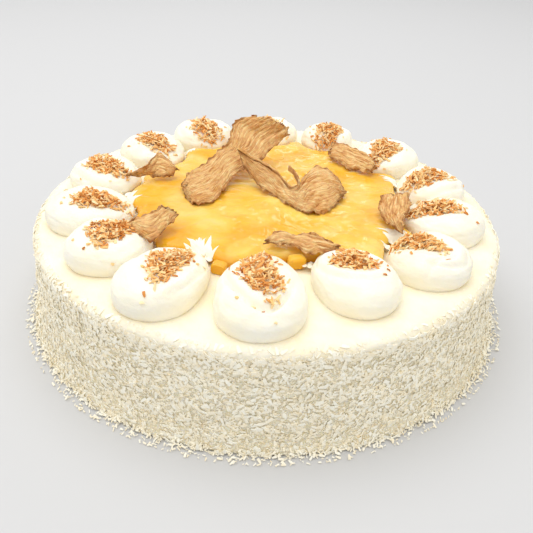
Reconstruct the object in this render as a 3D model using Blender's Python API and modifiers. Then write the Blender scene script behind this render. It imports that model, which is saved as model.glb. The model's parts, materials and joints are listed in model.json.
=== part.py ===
"""Pineapple cream cake: coconut side, fourteen piped dollops, fruit topping and dried fruit crisps."""
import math
import random

import bmesh
import bpy
from mathutils import Matrix, Vector, noise
from mathutils.bvhtree import BVHTree

# Driving dimensions in metres, angles in degrees; the front of the cake is towards -Y
TOP_Z = 0.058
RIM_RADIUS = 0.1365
BASE_RADIUS = 0.1398
SHOULDER_WIDTH = 0.0055
SHOULDER_DROP = 0.0042
FOOT_HEAP = 0.0045
SIDE_STEPS = 96
SIDE_BUMP = 0.0009
COCONUT_TOP_Z = 0.0540
GAP = 0.0004

DOLLOP_HALF_WIDTH = 0.0218
DOLLOP_NOSE = 0.0225
DOLLOP_HEIGHT = 0.0175
DOLLOP_CUT = -0.42
DENT_DEPTH = 0.0040

TOPPING_THICKNESS = 0.0060
TOPPING_STEPS = 72
CRISP_THICKNESS = 0.0013

# Per dollop: angle round the cake (degrees), distance of the bulb from the axis (mm),
# tail length (mm), width factor, height factor
DOLLOPS = [
    (-90.8, 109.8, 44.0, 1.01, 1.04),
    (-62.8, 100.5, 31.0, 0.95, 1.03),
    (-36.9, 106.5, 22.0, 1.00, 1.00),
    (-12.1, 105.0, 25.0, 0.99, 1.00),
    (12.5, 104.0, 20.0, 0.99, 0.98),
    (40.0, 106.0, 25.0, 0.98, 0.98),
    (67.5, 105.0, 15.0, 0.85, 0.98),
    (91.0, 105.0, 17.0, 0.96, 0.95),
    (117.0, 107.5, 20.0, 0.98, 1.00),
    (142.1, 103.0, 23.0, 0.98, 0.97),
    (168.6, 105.0, 22.0, 0.98, 0.98),
    (194.6, 106.5, 27.0, 0.98, 1.00),
    (217.9, 104.5, 24.0, 0.98, 1.00),
    (242.2, 110.5, 35.0, 0.97, 1.04),
]

# Reach of the fruit topping: angle in degrees and radius in mm
TOPPING_REACH = [
    (-107, 74), (-91, 62), (-76, 64), (-62, 68), (-48, 89), (-30, 80), (-17, 87), (-2, 82),
    (17, 91), (35, 95), (55, 96), (68, 96), (82, 99), (102, 98), (122, 93), (147, 89),
    (169, 84), (188, 85), (210, 79), (226, 82), (240, 72),
]

# Crisps: pairs of facing edge points in mm, from one end of the piece to the other
CRISP_BACK = [
    ((-52, 10, 68.0), (-49, -8, 66.0)),
    ((-51, 16, 68.7), (-43, -16, 66.0)),
    ((-49, 22, 69.8), (-37, -16, 66.0)),
    ((-44, 28, 70.9), (-30, -7, 66.0)),
    ((-38, 32, 73.0), (-26, 5, 67.6)),
    ((-33, 39, 77.0), (-21, 16, 70.2)),
    ((-28, 41, 81.5), (-12, 26, 72.5)),
    ((-26, 47, 86.0), (-5, 32, 74.5)),
    ((-25, 54, 91.0), (1, 40, 78.5)),
    ((-20, 54, 94.0), (8, 45, 83.5)),
    ((-13, 56, 95.5), (12, 46, 88.5)),
]
CRISP_FRONT = [
    ((-20, 26, 84.0), (-19, 24, 81.5)),
    ((-15, 24, 83.0), (-16, 18, 76.0)),
    ((-10, 22, 81.0), (-10, 11, 70.9)),
    ((-4, 21, 78.5), (-4, 4, 68.0)),
    ((1, 19, 76.0), (3, -1, 66.1)),
    ((7, 13, 72.0), (9, -9, 66.0)),
    ((13, 4, 69.8), (15, -15, 66.0)),
    ((19, 8, 70.9), (22, -21, 66.0)),
    ((24, 17, 75.0), (28, -21, 66.0)),
    ((31, 22, 76.0), (34, -19, 66.0)),
    ((39, 18, 74.0), (41, -8, 66.1)),
    ((45, 9, 70.9), (45, -2, 68.0)),
]
# Narrow strip that curls up from the front crisp
CRISP_HOOK = [
    ((12, 15, 78.8), (12, 14, 76.2)),
    ((14.5, 11, 78.3), (14.5, 10, 75.7)),
    ((16.7, 6, 77.3), (16.7, 5, 74.7)),
    ((17.9, 1.2, 75.3), (17.9, 0.2, 72.0)),
    ((17.6, -1.0, 72.6), (17.2, -2.2, 69.6)),
    ((16.6, -1.6, 69.8), (15.6, -3.4, 67.2)),
]
CHIPS = [
    ("chip_back_left", [
        ((-86, 9, 71.3), (-85, 8, 70.5)),
        ((-81, 11, 73.0), (-80, 10, 69.8)),
        ((-76, 15, 76.0), (-75, 13, 69.1)),
        ((-72, 27, 77.5), (-70, 14, 68.3)),
        ((-68, 28, 77.0), (-65, 14, 68.3)),
        ((-62, 24, 74.5), (-61, 15, 68.3)),
        ((-60, 22, 71.6), (-59, 18, 69.8)),
    ]),
    ("chip_front_left", [
        ((-72, -51, 74.8), (-70, -58, 75.2)),
        ((-69, -50, 75.6), (-65, -62, 73.2)),
        ((-64, -47, 75.0), (-59, -65, 68.7)),
        ((-60, -41, 75.0), (-55, -56, 69.1)),
        ((-58, -39, 76.0), (-51, -47, 70.2)),
        ((-54, -41, 76.0), (-49, -43, 72.0)),
    ]),
    ("chip_front", [
        ((0, -59, 68.7), (1, -61, 67.6)),
        ((4, -54, 70.9), (6, -62, 67.6)),
        ((9, -53, 71.3), (10, -62, 67.6)),
        ((15, -54, 70.5), (16, -64, 67.6)),
        ((21, -54, 71.6), (22, -68, 67.6)),
        ((26, -57, 71.6), (27, -69, 68.3)),
        ((32, -61, 71.3), (32, -69, 69.1)),
        ((36, -63, 70.5), (36, -67, 69.8)),
    ]),
    ("chip_back_right", [
        ((42, 68, 71.3), (40, 58, 68.0)),
        ((48, 68, 74.0), (46, 50, 67.6)),
        ((55, 62, 74.0), (52, 43, 66.4)),
        ((62, 55, 73.0), (60, 39, 66.4)),
        ((67, 49, 72.0), (65, 34, 68.0)),
        ((68, 43, 70.5), (67, 35, 69.1)),
    ]),
    ("chip_right", [
        ((67, -9, 73.5), (82, -9, 74.0)),
        ((65, -13, 71.3), (81, -20, 74.5)),
        ((64, -18, 69.4), (79, -27, 73.0)),
        ((65, -29, 69.2), (76, -35, 71.9)),
        ((68, -39, 69.8), (74, -42, 71.3)),
        ((71, -46, 70.5), (73, -48, 71.3)),
    ]),
]

# Fruit chunks: angle, radius, length, width and height in mm
CHUNKS = [
    ("fruit_chunk_left", -107.2, 79.0, 6.0, 8.0, 6.0),
    ("fruit_chunk_right", -76.4, 69.5, 7.0, 9.0, 7.0),
]


def clear_scene():
    for item in list(bpy.data.objects):
        bpy.data.objects.remove(item, do_unlink=True)


def new_collection(name):
    group = bpy.data.collections.new(name)
    bpy.context.scene.collection.children.link(group)
    return group


def material(name, rgb, roughness):
    mat = bpy.data.materials.new(name)
    mat.use_nodes = True
    shader = mat.node_tree.nodes["Principled BSDF"]
    shader.inputs["Base Color"].default_value = (*rgb, 1.0)
    shader.inputs["Roughness"].default_value = roughness
    shader.inputs["Metallic"].default_value = 0.0
    mat.diffuse_color = (*rgb, 1.0)
    return mat


def add_object(name, bm, mat, group):
    mesh = bpy.data.meshes.new(name)
    bm.to_mesh(mesh)
    bm.free()
    item = bpy.data.objects.new(name, mesh)
    mesh.materials.append(mat)
    group.objects.link(item)
    return item


def apply_modifiers(item):
    """Replace the object's mesh by its evaluated one, split into triangles."""
    graph = bpy.context.evaluated_depsgraph_get()
    graph.update()
    mesh = bpy.data.meshes.new_from_object(item.evaluated_get(graph))
    item.modifiers.clear()
    old = item.data
    item.data = mesh
    bpy.data.meshes.remove(old)
    bm = bmesh.new()
    bm.from_mesh(mesh)
    bmesh.ops.remove_doubles(bm, verts=bm.verts, dist=0.000005)
    bmesh.ops.triangulate(bm, faces=bm.faces)
    bmesh.ops.recalc_face_normals(bm, faces=bm.faces)
    bm.to_mesh(mesh)
    bm.free()
    mesh.name = item.name


def shade_smooth(item):
    for face in item.data.polygons:
        face.use_smooth = True


def shred_object(name, centre, along, outward, size, mat, group):
    """One small tapered sliver lying along a direction with its flat side to the surface."""
    bm = bmesh.new()
    bmesh.ops.create_cube(bm, size=1.0)
    for vert in bm.verts:
        if vert.co.x > 0:
            vert.co.y *= 0.55
            vert.co.z *= 0.7
    along = along.normalized()
    side = outward.cross(along).normalized()
    normal = along.cross(side).normalized()
    turn = Matrix((along, side, normal)).transposed()
    for vert in bm.verts:
        local = Vector((vert.co.x * size[0], vert.co.y * size[1], vert.co.z * size[2]))
        vert.co = centre + turn @ local
    return add_object(name, bm, mat, group)


def union_with(item, group):
    """Join every sliver of the collection to the object and remove the slivers."""
    joint = item.modifiers.new("slivers", "BOOLEAN")
    joint.operation = "UNION"
    joint.operand_type = "COLLECTION"
    joint.collection = group
    joint.solver = "EXACT"
    apply_modifiers(item)
    for sliver in list(group.objects):
        bpy.data.objects.remove(sliver, do_unlink=True)


def shoulder_points(steps):
    """Rounded edge of the icing from the flat top to the side."""
    inner = RIM_RADIUS - SHOULDER_WIDTH
    points = []
    for step in range(steps + 1):
        angle = math.radians(90.0 * (1.0 - step / steps))
        points.append((inner + SHOULDER_WIDTH * math.cos(angle),
                       TOP_Z - SHOULDER_DROP + SHOULDER_DROP * math.sin(angle)))
    return points


def side_radius(height):
    """Mean radius of the side, flared by the coconut heaped at the foot."""
    part = min(max(1.0 - height / (TOP_Z - SHOULDER_DROP), 0.0), 1.0)
    lean = RIM_RADIUS + (BASE_RADIUS - RIM_RADIUS) * part ** 1.3
    return lean + FOOT_HEAP * math.exp(-height / 0.0040)


def cake_profile():
    """Half section from the axis over the top, down the side and back under the cake."""
    points = [(0.0, TOP_Z), (0.080, TOP_Z)]
    points += shoulder_points(4)
    for height in (0.0455, 0.0390, 0.0320, 0.0250, 0.0180, 0.0115, 0.0060, 0.0022):
        points.append((side_radius(height), height))
    points.append((side_radius(0.0) - 0.0012, 0.0))
    points.append((0.0, 0.0))
    return points


def turned_object(name, profile, steps, mat, group):
    """Closed body from a half section turned about the vertical axis."""
    bm = bmesh.new()
    previous = None
    for radius, height in profile:
        vert = bm.verts.new((radius, 0.0, height))
        if previous:
            bm.edges.new((previous, vert))
        previous = vert
    item = add_object(name, bm, mat, group)
    screw = item.modifiers.new("turned section", "SCREW")
    screw.steps = steps
    screw.render_steps = steps
    screw.use_merge_vertices = True
    screw.merge_threshold = 0.00001
    apply_modifiers(item)
    return item


def side_normal(angle):
    return Vector((math.cos(angle), math.sin(angle), 0.0))


def side_push(point):
    """Outward shift of the uneven side at a point."""
    return SIDE_BUMP * (noise.noise(point * 190.0) + 0.6 * noise.noise(point * 60.0)) * 1.3


def build_cake(group, tools, mats):
    """Solid cake body: turned section with an uneven coconut side and slivers joined to it."""
    cake = turned_object("cake", cake_profile(), SIDE_STEPS, mats["coconut"], group)
    for vert in cake.data.vertices:
        point = vert.co
        if point.z > COCONUT_TOP_Z or point.z < 0.0006:
            continue
        radius = math.hypot(point.x, point.y)
        scale = 1.0 + side_push(point) / radius
        point.x *= scale
        point.y *= scale
    rng = random.Random(41)
    count = 72
    for index in range(count):
        angle = math.radians(137.508 * index + rng.uniform(-6.0, 6.0))
        part = (index + 0.5) / count
        height = 0.0035 + (COCONUT_TOP_Z - 0.0065) * ((part * 7.0) % 1.0)
        normal = side_normal(angle)
        lean = rng.uniform(0.0, math.tau)
        across = Vector((-math.sin(angle), math.cos(angle), 0.0))
        along = across * math.cos(lean) + Vector((0.0, 0.0, 1.0)) * math.sin(lean)
        along += normal * rng.uniform(-0.25, 0.25)
        centre = normal * side_radius(height) + Vector((0.0, 0.0, height))
        centre += normal * (0.5 * side_push(centre) + 0.0001)
        size = (rng.uniform(0.0040, 0.0058), rng.uniform(0.0016, 0.0022), rng.uniform(0.0016, 0.0022))
        shred_object("sliver", centre, along, normal, size, mats["coconut"], tools)
    for index in range(24):
        angle = math.radians(360.0 * index / 24 + rng.uniform(-5.0, 5.0))
        normal = side_normal(angle)
        across = Vector((-math.sin(angle), math.cos(angle), 0.0))
        along = across * rng.uniform(0.2, 1.0) + normal * rng.uniform(-1.0, 1.0)
        centre = normal * (side_radius(0.0) - rng.uniform(0.0012, 0.0022)) + Vector((0.0, 0.0, 0.0018))
        size = (rng.uniform(0.0048, 0.0065), rng.uniform(0.0020, 0.0028), 0.0018)
        shred_object("sliver", centre, along, Vector((0.0, 0.0, 1.0)), size, mats["coconut"], tools)
    union_with(cake, tools)
    shade_smooth(cake)
    return cake


def dollop_plan(part):
    """Half width along the dollop as a share of the bulb's, from tail (-1) to nose (1)."""
    if part >= 0.0:
        return math.sqrt(max(1.0 - part * part, 0.0))
    return math.sqrt(max(1.0 - (-part) ** 2.4, 0.0)) * (1.0 - 0.16 * (-part) ** 1.5)


def dollop_point(unit, tail, width, height):
    """Turn a point of the unit sphere into a point of the teardrop."""
    part = unit.x
    ring = math.sqrt(max(1.0 - part * part, 1e-9))
    x = part * (DOLLOP_NOSE if part > 0.0 else tail)
    y = unit.y / ring * dollop_plan(part) * DOLLOP_HALF_WIDTH * width
    lift = (unit.z - DOLLOP_CUT) / (1.0 - DOLLOP_CUT)
    slope = 1.0 if part > 0.0 else 1.0 - 0.25 * part ** 2
    z = lift * DOLLOP_HEIGHT * height * slope
    dent = math.exp(-((x + 0.3 * tail) / (0.7 * tail)) ** 2 - (y / 0.0078) ** 2)
    z -= DENT_DEPTH * dent * max(lift, 0.0) ** 2
    return Vector((x, y, z))


def dollop_frame(index):
    """Placement of a dollop on the icing with its nose outwards, and its own sizes."""
    degrees, distance, tail, width, height = DOLLOPS[index]
    angle = math.radians(degrees)
    radius = distance * 0.001
    place = Matrix.Translation((radius * math.cos(angle), radius * math.sin(angle), TOP_Z + GAP))
    return place @ Matrix.Rotation(angle, 4, "Z"), tail * 0.001, width, height


def build_dollop(index, group, tools, mats):
    """One piped dollop with a hollowed top that holds slivers of toasted coconut."""
    frame, tail, width, height = dollop_frame(index)
    bm = bmesh.new()
    bmesh.ops.create_uvsphere(bm, u_segments=16, v_segments=9, radius=1.0)
    cut = bmesh.ops.bisect_plane(bm, geom=bm.verts[:] + bm.edges[:] + bm.faces[:], dist=0.0001,
                                 plane_co=(0.0, 0.0, DOLLOP_CUT), plane_no=(0.0, 0.0, -1.0),
                                 clear_outer=True)
    rim = [item for item in cut["geom_cut"] if isinstance(item, bmesh.types.BMEdge)]
    bmesh.ops.edgeloop_fill(bm, edges=rim)
    for vert in bm.verts:
        vert.co = frame @ dollop_point(vert.co, tail, width, height)
    bmesh.ops.triangulate(bm, faces=bm.faces)
    bmesh.ops.recalc_face_normals(bm, faces=bm.faces)
    tree = BVHTree.FromBMesh(bm)
    dollop = add_object("dollop_%02d" % (index + 1), bm, mats["cream"], group)
    rng = random.Random(300 + index)
    for number in range(6):
        spread = math.sqrt((number + 0.4) / 6.0)
        turn = 2.39996 * number + index
        x = tail * (0.45 * spread * math.cos(turn) - 0.25)
        y = 0.0056 * spread * math.sin(turn)
        start = frame @ Vector((x, y, 0.05))
        hit, normal, _, _ = tree.ray_cast(start, Vector((0.0, 0.0, -1.0)))
        heading = rng.uniform(0.0, math.tau)
        along = Vector((math.cos(heading), math.sin(heading), rng.uniform(-0.15, 0.35)))
        along -= normal * along.dot(normal) * 0.8
        size = (rng.uniform(0.0062, 0.0082), rng.uniform(0.0021, 0.0028), rng.uniform(0.0020, 0.0026))
        shred_object("sliver", hit + normal * 0.0007, along, normal, size, mats["toasted"], tools)
    union_with(dollop, tools)
    shade_smooth(dollop)
    return dollop


def reach_radius(angle):
    """Radius that the topping would reach at an angle, smoothed between the given points."""
    degrees = math.degrees(angle)
    first = TOPPING_REACH[0][0]
    degrees = (degrees - first) % 360.0 + first
    closed = TOPPING_REACH + [(first + 360.0, TOPPING_REACH[0][1])]
    for (a0, r0), (a1, r1) in zip(closed, closed[1:]):
        if a0 <= degrees <= a1:
            part = (degrees - a0) / (a1 - a0)
            part = part * part * (3.0 - 2.0 * part)
            return (r0 + (r1 - r0) * part) * 0.001
    return closed[0][1] * 0.001


def inside_dollop(point, margin):
    """True where a plan point lies within the margin of a dollop's widest outline."""
    for index in range(len(DOLLOPS)):
        frame, tail, width, _ = dollop_frame(index)
        local = frame.inverted() @ point
        part = local.x / ((DOLLOP_NOSE if local.x > 0.0 else tail) + margin)
        if abs(part) < 1.0 and abs(local.y) < DOLLOP_HALF_WIDTH * width * dollop_plan(part) + margin:
            return True
    return False


def topping_radius(angle, margin=0.0011):
    """Outer radius of the topping, held back wherever a dollop stands in its way."""
    limit = reach_radius(angle)
    radius = 0.055
    while radius < limit:
        point = Vector((radius * math.cos(angle), radius * math.sin(angle), TOP_Z))
        if inside_dollop(point, margin):
            return radius - 0.0006
        radius += 0.0003
    return limit


def topping_height(x, y):
    """Soft lumps of the topping above the icing."""
    lump = noise.noise(Vector((x * 55.0, y * 55.0, 3.0)))
    fine = noise.noise(Vector((x * 130.0, y * 130.0, 9.0)))
    return TOPPING_THICKNESS + 0.0004 * lump + 0.0002 * fine


def build_topping(group, mats):
    """Fruit topping spread over the middle and run out between the dollops."""
    section = [(0.0, 1.0), (0.45, 1.0), (0.78, 1.0), (0.95, 0.88), (1.0, 0.35), (0.99, 0.0), (0.0, 0.0)]
    topping = turned_object("fruit_topping", section, TOPPING_STEPS, mats["topping"], group)
    for vert in topping.data.vertices:
        share = math.hypot(vert.co.x, vert.co.y)
        angle = math.atan2(vert.co.y, vert.co.x)
        radius = share * topping_radius(angle)
        x = radius * math.cos(angle)
        y = radius * math.sin(angle)
        vert.co = (x, y, TOP_Z + GAP + vert.co.z * topping_height(x, y))
    shade_smooth(topping)
    return topping


def along_stations(stations, part):
    """Pair of edge points at a share of the way along, on a smooth curve through the stations."""
    place = part * (len(stations) - 1)
    index = min(int(place), len(stations) - 2)
    t = place - index
    edges = []
    for side in (0, 1):
        p0 = Vector(stations[max(index - 1, 0)][side])
        p1 = Vector(stations[index][side])
        p2 = Vector(stations[index + 1][side])
        p3 = Vector(stations[min(index + 2, len(stations) - 1)][side])
        point = 0.5 * ((2.0 * p1) + (p2 - p0) * t + (2.0 * p0 - 5.0 * p1 + 4.0 * p2 - p3) * t * t
                       + (3.0 * p1 - p0 - 3.0 * p2 + p3) * t * t * t)
        edges.append(point * 0.001)
    return edges


def build_crisp(name, stations, rows, columns, seed, group, mat, thickness=CRISP_THICKNESS):
    """Thin wavy slice lofted between two edges, thickened so that both faces split alike."""
    bm = bmesh.new()
    bmesh.ops.create_grid(bm, x_segments=rows, y_segments=columns, size=1.0)
    bmesh.ops.triangulate(bm, faces=bm.faces)
    for vert in bm.verts:
        along = vert.co.x * 0.5 + 0.5
        across = vert.co.y * 0.5 + 0.5
        first, second = along_stations(stations, along)
        width = (second - first).length
        point = first.lerp(second, across)
        middle = 1.0 - (2.0 * across - 1.0) ** 2
        ripple = noise.noise(Vector((along * 7.0, across * 3.5, seed * 1.7)))
        lift = 0.035 * width * middle + 0.0013 * ripple * min(1.0, width / 0.015)
        point.z += max(lift, 0.0)
        if across in (0.0, 1.0):
            point.x += 0.0008 * noise.noise(Vector((along * 15.0, across * 9.0, seed * 3.1)))
            point.y += 0.0008 * noise.noise(Vector((along * 15.0, across * 9.0, seed * 5.3)))
        vert.co = point
    crisp = add_object(name, bm, mat, group)
    skin = crisp.modifiers.new("thickness", "SOLIDIFY")
    skin.thickness = thickness
    skin.offset = 0.0
    skin.use_even_offset = True
    apply_modifiers(crisp)
    shade_smooth(crisp)
    return crisp


def build_chunk(name, angle, radius, length, width, height, group, mat):
    """Small soft-edged piece of fruit that lies on the icing."""
    bm = bmesh.new()
    bmesh.ops.create_cube(bm, size=1.0)
    bmesh.ops.bevel(bm, geom=bm.verts[:] + bm.edges[:], offset=0.2, segments=1, affect="EDGES")
    heading = math.radians(angle)
    spin = Matrix.Rotation(heading, 4, "Z")
    place = Vector((radius * math.cos(heading), radius * math.sin(heading), 0.0)) * 0.001
    place.z = TOP_Z + GAP + height * 0.0005
    for vert in bm.verts:
        local = Vector((vert.co.x * length, vert.co.y * width, vert.co.z * height)) * 0.001
        vert.co = place + spin @ local
    chunk = add_object(name, bm, mat, group)
    apply_modifiers(chunk)
    shade_smooth(chunk)
    return chunk


def main():
    clear_scene()
    group = new_collection("pineapple_cream_cake")
    tools = new_collection("slivers")
    mats = {
        "coconut": material("coconut_coat", (0.83, 0.79, 0.66), 0.85),
        "cream": material("whipped_cream", (0.93, 0.90, 0.80), 0.60),
        "toasted": material("toasted_coconut", (0.62, 0.30, 0.10), 0.75),
        "topping": material("fruit_topping", (0.87, 0.55, 0.09), 0.22),
        "crisp": material("dried_fruit", (0.58, 0.30, 0.11), 0.70),
    }
    build_cake(group, tools, mats)
    build_topping(group, mats)
    for index in range(len(DOLLOPS)):
        build_dollop(index, group, tools, mats)
    build_crisp("crisp_back", CRISP_BACK, 13, 6, 1.0, group, mats["crisp"])
    front = build_crisp("crisp_front", CRISP_FRONT, 15, 4, 2.0, group, mats["crisp"])
    build_crisp("hook", CRISP_HOOK, 7, 1, 9.0, tools, mats["crisp"], 0.0016)
    union_with(front, tools)
    for number, (name, stations) in enumerate(CHIPS):
        build_crisp(name, stations, 6, 3, 3.0 + number, group, mats["crisp"], 0.0016)
    for name, angle, radius, length, width, height in CHUNKS:
        build_chunk(name, angle, radius, length, width, height, group, mats["topping"])
    bpy.data.collections.remove(tools)


main()
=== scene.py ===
"""Pineapple cream cake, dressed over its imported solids: cream, coconut, fruit topping and dried crisps."""
import json
import math

import bpy
import numpy as np
from bpy.props import FloatProperty, FloatVectorProperty, IntProperty, PointerProperty
from mathutils import Matrix, Vector, noise
from mathutils.bvhtree import BVHTree

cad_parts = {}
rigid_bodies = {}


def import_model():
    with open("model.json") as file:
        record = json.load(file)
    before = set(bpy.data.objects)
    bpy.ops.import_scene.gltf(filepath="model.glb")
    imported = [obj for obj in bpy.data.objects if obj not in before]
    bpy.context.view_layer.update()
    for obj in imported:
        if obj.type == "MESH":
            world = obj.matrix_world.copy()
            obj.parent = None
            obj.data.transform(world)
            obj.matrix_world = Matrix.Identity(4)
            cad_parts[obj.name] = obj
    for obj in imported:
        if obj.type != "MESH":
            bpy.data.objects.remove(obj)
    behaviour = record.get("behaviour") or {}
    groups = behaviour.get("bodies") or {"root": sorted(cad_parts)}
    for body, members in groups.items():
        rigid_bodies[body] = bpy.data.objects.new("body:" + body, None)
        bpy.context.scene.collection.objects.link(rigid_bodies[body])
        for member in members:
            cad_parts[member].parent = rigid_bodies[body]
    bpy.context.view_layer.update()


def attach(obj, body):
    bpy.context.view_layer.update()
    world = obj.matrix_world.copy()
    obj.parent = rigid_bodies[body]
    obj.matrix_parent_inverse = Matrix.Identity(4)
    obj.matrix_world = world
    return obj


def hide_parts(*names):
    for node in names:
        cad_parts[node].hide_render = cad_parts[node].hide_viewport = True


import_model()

bl_info = {
    "name": "Pineapple Cream Cake",
    "version": (1, 0, 0),
    "blender": (4, 5, 0),
    "location": "View3D > Sidebar > Cake",
    "description": "Builds a whole pineapple cream cake with coconut, piped dollops and dried fruit crisps",
    "category": "Object",
}

BODY = "root"
MM = 0.001

# Start of every shader node's type name, and the socket numbers of a Mix node that mixes two colours
NODE_PREFIX = "ShaderNode"
FACTOR, COLOUR_A, COLOUR_B, MIXED = 0, 6, 7, 2

# Mesh steps round the cake and the topping, then round and along a dollop, a chunk and a tongue of cream
CAKE_STEPS, TOPPING_STEPS = 400, 720
DOLLOP_STEPS, CHUNK_STEPS, TONGUE_STEPS = (96, 64), (48, 32), (14, 8)
# Mesh steps along and across a large crisp, a small chip and the curled strip
CRISP_STEPS, CHIP_STEPS, HOOK_STEPS = (150, 84), (72, 44), (40, 6)
# Seeds of the random draws
COCONUT_SEED, TOASTED_SEED, SMEAR_SEED = 70, 500, 23

# Camera fitted to the photo: tilt and roll (degrees), distance and shifts (m), sensor and lens (mm);
# the lens is the fitted focal length in pixels over the width of the picture
CAMERA_TILT, CAMERA_ROLL = 32.76, 2.45
CAMERA_AWAY, CAMERA_ASIDE, CAMERA_UP = 0.39823, -0.0002, -0.0216
SENSOR = 36.0
LENS = 635.3 / 533.0 * SENSOR

# A dollop is a unit sphere cut off flat at this height, with a hollow of this depth (m) in its top
DOLLOP_CUT = -0.42
HOLLOW_DEPTH = 0.0040
# Depth (m) of the fold beside the hollow of the front dollops, which shows clearly in the photo
FOLD_DEPTHS = (0.0030, 0.0009, 0.0012)
# Thickness of a crisp's border as a share of its middle
BORDER_SHARE = 0.35
# Shares of the coconut shreds that lie loose round the foot and that strayed above the coat's edge
FOOT_SHARE, STRAY_SHARE = 0.17, 0.10
# Loose toasted shreds beside each heap, and the height of a heap (m)
LOOSE_SHREDS, HEAP_HEIGHT = 9, 0.0052
# Tongues of cream in each smear
TONGUES = 7

# Per dollop: angle round the cake (degrees), distance of the bulb from the axis, tail (mm), width, height
DOLLOPS = [
    (-90.8, 109.8, 44.0, 1.01, 1.04),
    (-62.8, 100.5, 31.0, 0.95, 1.03),
    (-36.9, 106.5, 22.0, 1.00, 1.00),
    (-12.1, 105.0, 25.0, 0.99, 1.00),
    (12.5, 104.0, 20.0, 0.99, 0.98),
    (40.0, 106.0, 25.0, 0.98, 0.98),
    (67.5, 105.0, 15.0, 0.85, 0.98),
    (91.0, 105.0, 17.0, 0.96, 0.95),
    (117.0, 107.5, 20.0, 0.98, 1.00),
    (142.1, 103.0, 23.0, 0.98, 0.97),
    (168.6, 105.0, 22.0, 0.98, 0.98),
    (194.6, 106.5, 27.0, 0.98, 1.00),
    (217.9, 104.5, 24.0, 0.98, 1.00),
    (242.2, 110.5, 35.0, 0.97, 1.04),
]

# Toasted coconut on each dollop: centre along and across (mm), half length, half width (mm), turn
CLUSTERS = [
    (-13.0, 0.0, 25.0, 10.5, 8.0),
    (-7.0, 1.2, 12.5, 10.5, 15.0),
    (-7.0, -0.5, 15.0, 9.5, 0.0),
    (-7.0, 0.0, 16.0, 9.5, 10.0),
    (-4.0, -1.0, 18.0, 9.8, 12.0),
    (-5.0, -0.6, 17.0, 10.0, 20.0),
    (-2.0, -1.5, 18.0, 10.0, 5.0),
    (-5.0, 0.0, 17.0, 10.0, 0.0),
    (-4.4, 0.5, 18.0, 10.5, -7.0),
    (-2.5, -0.5, 17.5, 9.8, -12.0),
    (-1.5, 1.2, 16.5, 10.5, -25.0),
    (-7.0, 3.0, 15.5, 10.5, -8.0),
    (-3.0, 0.0, 16.0, 11.0, 25.0),
    (-7.6, 2.0, 19.0, 9.2, 8.0),
]

# Reach of the fruit topping: angle (degrees) and radius (mm)
TOPPING_REACH = [
    (-107, 75), (-91, 63), (-76, 66), (-62, 69), (-48, 89), (-34, 80), (-25, 92), (-15, 84), (-2, 82),
    (17, 91), (35, 95), (55, 96), (68, 96), (82, 99), (102, 98), (122, 93), (147, 89),
    (169, 84), (188, 85), (210, 79), (226, 82), (240, 72),
]

# Crisps: x, y, z of two facing edge points (mm), row by row from one end of the piece to the other
CRISPS = {
    "crisp_back": [
        (-52, 10, 68, -49, -8, 66), (-51, 16, 68.7, -43, -16, 66), (-49, 22, 69.8, -37, -16, 66),
        (-44, 28, 70.9, -30, -7, 66), (-38, 32, 73, -26, 5, 67.6), (-33, 39, 77, -21, 16, 70.2),
        (-28, 41, 81.5, -12, 26, 72.5), (-26, 47, 86, -5, 32, 74.5), (-25, 54, 91, 1, 40, 78.5),
        (-20, 54, 94, 8, 45, 83.5), (-13, 56, 95.5, 12, 46, 88.5),
    ],
    "crisp_front": [
        (-20, 26, 84, -19, 24, 81.5), (-15, 24, 83, -16, 18, 76), (-10, 22, 81, -10, 11, 70.9),
        (-4, 21, 78.5, -4, 4, 68), (1, 19, 76, 3, -1, 66.1), (7, 13, 72, 9, -9, 66),
        (13, 4, 69.8, 15, -15, 66), (19, 8, 70.9, 22, -21, 66), (24, 17, 75, 28, -21, 66),
        (31, 22, 76, 34, -19, 66), (39, 18, 74, 41, -8, 66.1), (45, 9, 70.9, 45, -2, 68),
    ],
    "chip_back_left": [
        (-86, 9, 71.3, -85, 8, 70.5), (-81, 11, 73, -80, 10, 69.8), (-76, 15, 76, -75, 13, 69.1),
        (-72, 27, 77.5, -70, 14, 68.3), (-68, 28, 77, -65, 14, 68.3), (-62, 24, 74.5, -61, 15, 68.3),
        (-60, 22, 71.6, -59, 18, 69.8),
    ],
    "chip_front_left": [
        (-72, -51, 73, -70, -59, 72), (-69, -50, 74.5, -65, -63, 70.5), (-64, -47, 75, -59, -65, 68.7),
        (-60, -41, 75, -55, -56, 69.1), (-58, -39, 76, -51, -47, 70.2), (-54, -41, 76, -49, -43, 72),
    ],
    "chip_front": [
        (0, -59, 68.7, 1, -61, 67.6), (4, -54, 70.9, 6, -62, 67.6), (9, -53, 71.3, 10, -62, 67.6),
        (15, -54, 70.5, 16, -64, 67.6), (21, -54, 71.6, 22, -68, 67.6), (26, -57, 71.6, 27, -69, 68.3),
        (32, -61, 71.3, 32, -69, 69.1), (36, -63, 70.5, 36, -67, 69.8),
    ],
    "chip_back_right": [
        (42, 68, 71.3, 40, 58, 68), (48, 68, 74, 46, 50, 67.6), (55, 62, 74, 52, 43, 66.4),
        (62, 55, 73, 60, 39, 66.4), (67, 49, 72, 65, 34, 68), (68, 43, 70.5, 67, 35, 69.1),
    ],
    "chip_right": [
        (67, -9, 73.5, 82, -9, 74), (65, -13, 71.3, 81, -20, 74.5), (64, -18, 69.4, 79, -27, 73),
        (65, -29, 69.2, 76, -35, 71.9), (68, -39, 69.8, 74, -42, 71.3), (71, -46, 70.5, 73, -48, 71.3),
    ],
}

# Strip that curls up from the front crisp: points along it (mm)
HOOK = [
    (12.0, 14.6, 77.6), (14.5, 10.5, 77.0), (16.7, 5.5, 76.0), (17.9, 0.7, 73.8),
    (17.4, -1.6, 71.0), (16.1, -2.5, 68.6),
]

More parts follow.
